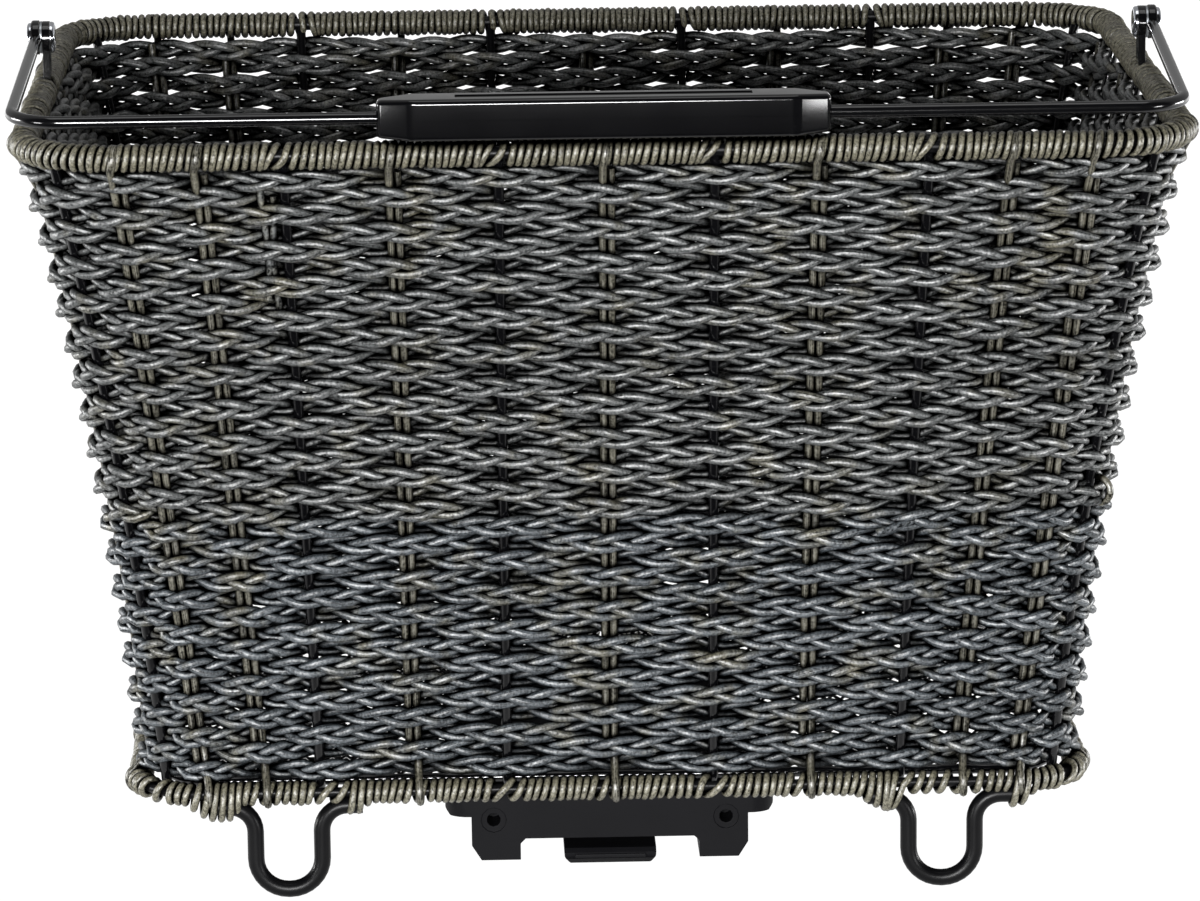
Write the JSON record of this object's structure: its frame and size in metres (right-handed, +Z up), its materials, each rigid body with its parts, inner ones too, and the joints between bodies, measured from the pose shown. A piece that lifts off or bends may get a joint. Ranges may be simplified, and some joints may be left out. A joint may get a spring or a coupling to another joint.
{
  "type": "bicycle basket",
  "caption": "Woven rear bicycle basket on a wire frame, with a swinging carry handle, standing loops and a rack adapter with a release lever.",
  "frame": {"origin": "on the ground under the middle of the basket, which stands on its four wire loops", "axes": "+X along the long front wall to the right as seen from the front, +Y from the front wall to the rear wall, +Z up"},
  "size_m": [0.454, 0.3351, 0.3265],
  "materials": {
    "weave": "satin",
    "rattan": "satin",
    "black_wire": "gloss",
    "black_plastic": "satin",
    "chrome": "polished",
    "zinc_steel": "satin"
  },
  "bodies": {
    "basket": {"weave_front": "weave", "weave_right": "weave", "weave_rear": "weave", "weave_left": "weave", "weave_corner_front_right": "weave", "weave_corner_rear_right": "weave", "weave_corner_rear_left": "weave", "weave_corner_front_left": "weave", "corner_post_front_right": "black_wire", "corner_post_rear_right": "black_wire", "corner_post_rear_left": "black_wire", "corner_post_front_left": "black_wire", "hoop_wire_1": "black_wire", "hoop_wire_2": "black_wire", "hoop_wire_3": "black_wire", "hoop_wire_4": "black_wire", "stake_pair_1": "rattan", "stake_pair_2": "rattan", "stake_pair_3": "rattan", "stake_pair_4": "rattan", "stake_pair_5": "rattan", "stake_pair_6": "rattan", "stake_pair_7": "rattan", "cross_wire_1": "black_wire", "cross_wire_2": "black_wire", "cross_wire_3": "black_wire", "cross_stake_1": "rattan", "cross_stake_2": "rattan", "cross_stake_3": "rattan", "cross_stake_4": "rattan", "weave_floor": "black_wire", "foot_loop_front_left": "black_wire", "foot_loop_front_right": "black_wire", "foot_loop_rear_left": "black_wire", "foot_loop_rear_right": "black_wire", "top_rim_wire": "black_wire", "bottom_rim_wire": "black_wire", "top_binding": "rattan", "bottom_binding": "rattan", "handle_lug_left": "black_wire", "pivot_washer_left": "zinc_steel", "pivot_bolt_left": "chrome", "pivot_nut_left": "chrome", "handle_lug_right": "black_wire", "pivot_washer_right": "zinc_steel", "pivot_bolt_right": "chrome", "pivot_nut_right": "chrome", "adapter_body": "black_plastic", "clamp_plate": "black_plastic", "clamp_screw_1": "zinc_steel", "clamp_screw_2": "zinc_steel", "clamp_screw_3": "zinc_steel", "clamp_screw_4": "zinc_steel", "lever_pin": "zinc_steel", "lever_spring": "zinc_steel"},
    "bail": {"bail_rod": "black_wire", "grip_upper_shell": "black_plastic", "grip_lower_shell": "black_plastic"},
    "lever": {"release_lever": "black_plastic"}
  },
  "joints": [
    {"name": "bail_swing", "type": "hinge", "parent": "basket", "child": "bail", "pos_m": [0, 0, 0.32], "axis": [-1, 0, 0], "range_deg": [0, 175]},
    {"name": "lever_lift", "type": "hinge", "parent": "basket", "child": "lever", "pos_m": [0, -0.061, 0.0121], "axis": [-1, 0, 0], "range_deg": [0, 4], "stiffness_Nm_per_rad": 0.4, "springref_deg": -17.19, "deforming": ["lever_spring"]}
  ]
}
